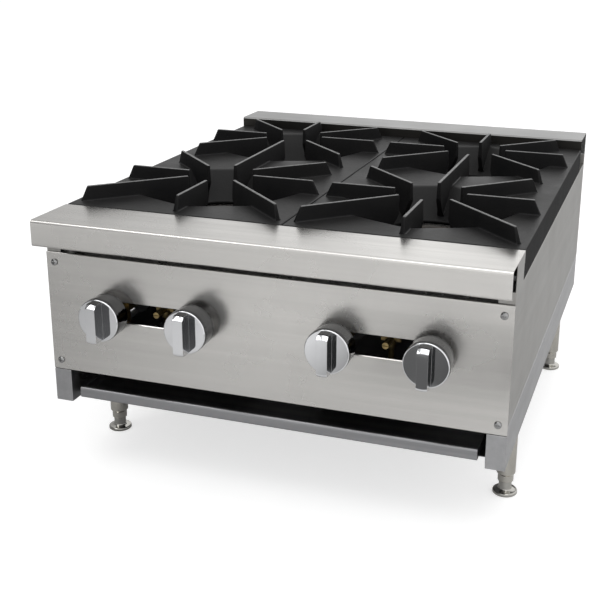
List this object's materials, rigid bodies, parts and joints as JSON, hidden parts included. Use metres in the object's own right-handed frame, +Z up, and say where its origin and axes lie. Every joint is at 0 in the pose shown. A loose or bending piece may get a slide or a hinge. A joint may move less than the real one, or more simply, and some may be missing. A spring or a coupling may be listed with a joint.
{
  "type": "countertop gas hot plate",
  "caption": "Commercial countertop gas range top: stainless box on short legs, cast-iron finned grates over open burners, chrome control knobs and a slide-out crumb tray.",
  "frame": {"origin": "on the table, under the middle of the appliance's overall box", "axes": "+Z up, -Y towards the cook (the side with the knobs), +X to the right of someone facing the front"},
  "size_m": [0.6096, 0.8098, 0.3816],
  "materials": {
    "brushed_stainless": "brushed",
    "mill_stainless": "satin",
    "galvanised_steel": "satin",
    "polished_chrome": "polished",
    "black_cast_iron": "satin black",
    "bare_cast_iron": "rough",
    "brass": "machined",
    "copper_tube": "drawn",
    "black_pipe": "semi-gloss",
    "tray_steel": "dull"
  },
  "bodies": {
    "chassis": {"front_rail": "brushed_stainless", "control_panel": "brushed_stainless", "panel_screw_left_top": "polished_chrome", "panel_screw_left_bottom": "polished_chrome", "panel_screw_right_top": "polished_chrome", "panel_screw_right_bottom": "polished_chrome", "side_panel_left": "brushed_stainless", "side_panel_right": "brushed_stainless", "back_panel": "mill_stainless", "rear_rail": "brushed_stainless", "grate_ledge_front": "galvanised_steel", "grate_ledge_rear": "galvanised_steel", "base_rail_left": "brushed_stainless", "base_rail_right": "brushed_stainless", "base_cross_rear": "galvanised_steel", "leg_left_front": "polished_chrome", "leg_left_rear": "polished_chrome", "leg_right_front": "polished_chrome", "leg_right_rear": "polished_chrome", "burner_body_left_front": "bare_cast_iron", "burner_body_left_rear": "bare_cast_iron", "burner_body_right_front": "bare_cast_iron", "burner_body_right_rear": "bare_cast_iron", "burner_head_left_front": "bare_cast_iron", "burner_head_left_rear": "bare_cast_iron", "burner_head_right_front": "bare_cast_iron", "burner_head_right_rear": "bare_cast_iron", "burner_support_front": "galvanised_steel", "burner_support_rear": "galvanised_steel", "manifold_pipe": "black_pipe", "manifold_bracket_left": "galvanised_steel", "manifold_bracket_right": "galvanised_steel", "gas_inlet": "galvanised_steel", "burner_valve_left_front": "brass", "burner_valve_left_rear": "brass", "burner_valve_right_front": "brass", "burner_valve_right_rear": "brass", "pilot_valve_left": "brass", "pilot_tube_left": "copper_tube", "pilot_valve_right": "brass", "pilot_tube_right": "copper_tube"},
    "knob_left_front": {"knob_left_front": "polished_chrome", "valve_stem_left_front": "galvanised_steel"},
    "knob_left_rear": {"knob_left_rear": "polished_chrome", "valve_stem_left_rear": "galvanised_steel"},
    "knob_right_front": {"knob_right_front": "polished_chrome", "valve_stem_right_front": "galvanised_steel"},
    "knob_right_rear": {"knob_right_rear": "polished_chrome", "valve_stem_right_rear": "galvanised_steel"},
    "air_shutter_left_front": {"air_shutter_left_front": "galvanised_steel"},
    "air_shutter_left_rear": {"air_shutter_left_rear": "galvanised_steel"},
    "air_shutter_right_front": {"air_shutter_right_front": "galvanised_steel"},
    "air_shutter_right_rear": {"air_shutter_right_rear": "galvanised_steel"},
    "crumb_tray": {"crumb_tray": "tray_steel"},
    "grate_left": {"grate_left": "black_cast_iron"},
    "grate_right": {"grate_right": "black_cast_iron"},
    "foot_left_front": {"foot_left_front": "polished_chrome"},
    "foot_left_rear": {"foot_left_rear": "polished_chrome"},
    "foot_right_front": {"foot_right_front": "polished_chrome"},
    "foot_right_rear": {"foot_right_rear": "polished_chrome"}
  },
  "joints": [
    {"name": "knob_left_front_turn", "type": "hinge", "parent": "chassis", "child": "knob_left_front", "pos_m": [-0.2124, -0.3869, 0.2396], "axis": [0, -1, 0], "range_deg": [0, 90]},
    {"name": "knob_left_rear_turn", "type": "hinge", "parent": "chassis", "child": "knob_left_rear", "pos_m": [-0.0924, -0.3869, 0.2396], "axis": [0, -1, 0], "range_deg": [0, 90]},
    {"name": "knob_right_front_turn", "type": "hinge", "parent": "chassis", "child": "knob_right_front", "pos_m": [0.2124, -0.3869, 0.2396], "axis": [0, -1, 0], "range_deg": [0, 90]},
    {"name": "knob_right_rear_turn", "type": "hinge", "parent": "chassis", "child": "knob_right_rear", "pos_m": [0.0924, -0.3869, 0.2396], "axis": [0, -1, 0], "range_deg": [0, 90]},
    {"name": "air_shutter_left_front_turn", "type": "hinge", "parent": "chassis", "child": "air_shutter_left_front", "pos_m": [-0.20797, -0.28623, 0.2396], "axis": [0.3417, 0.9398, 0], "range_deg": [-45, 45]},
    {"name": "air_shutter_left_rear_turn", "type": "hinge", "parent": "chassis", "child": "air_shutter_left_rear", "pos_m": [-0.09407, -0.28556, 0.2396], "axis": [-0.1287, 0.9917, 0], "range_deg": [-45, 45]},
    {"name": "air_shutter_right_front_turn", "type": "hinge", "parent": "chassis", "child": "air_shutter_right_front", "pos_m": [0.20797, -0.28623, 0.2396], "axis": [-0.3417, 0.9398, 0], "range_deg": [-45, 45]},
    {"name": "air_shutter_right_rear_turn", "type": "hinge", "parent": "chassis", "child": "air_shutter_right_rear", "pos_m": [0.09407, -0.28556, 0.2396], "axis": [0.1287, 0.9917, 0], "range_deg": [-45, 45]},
    {"name": "crumb_tray_slide", "type": "slide", "parent": "chassis", "child": "crumb_tray", "axis": [0, -1, 0], "range_m": [0, 0.5]},
    {"name": "grate_left_lift", "type": "slide", "parent": "chassis", "child": "grate_left", "axis": [0, 0, 1], "range_m": [0, 0.15]},
    {"name": "grate_right_lift", "type": "slide", "parent": "chassis", "child": "grate_right", "axis": [0, 0, 1], "range_m": [0, 0.15]},
    {"name": "foot_left_front_screw", "type": "slide", "parent": "chassis", "child": "foot_left_front", "axis": [0, 0, -1], "range_m": [0, 0.025]},
    {"name": "foot_left_rear_screw", "type": "slide", "parent": "chassis", "child": "foot_left_rear", "axis": [0, 0, -1], "range_m": [0, 0.025]},
    {"name": "foot_right_front_screw", "type": "slide", "parent": "chassis", "child": "foot_right_front", "axis": [0, 0, -1], "range_m": [0, 0.025]},
    {"name": "foot_right_rear_screw", "type": "slide", "parent": "chassis", "child": "foot_right_rear", "axis": [0, 0, -1], "range_m": [0, 0.025]}
  ]
}
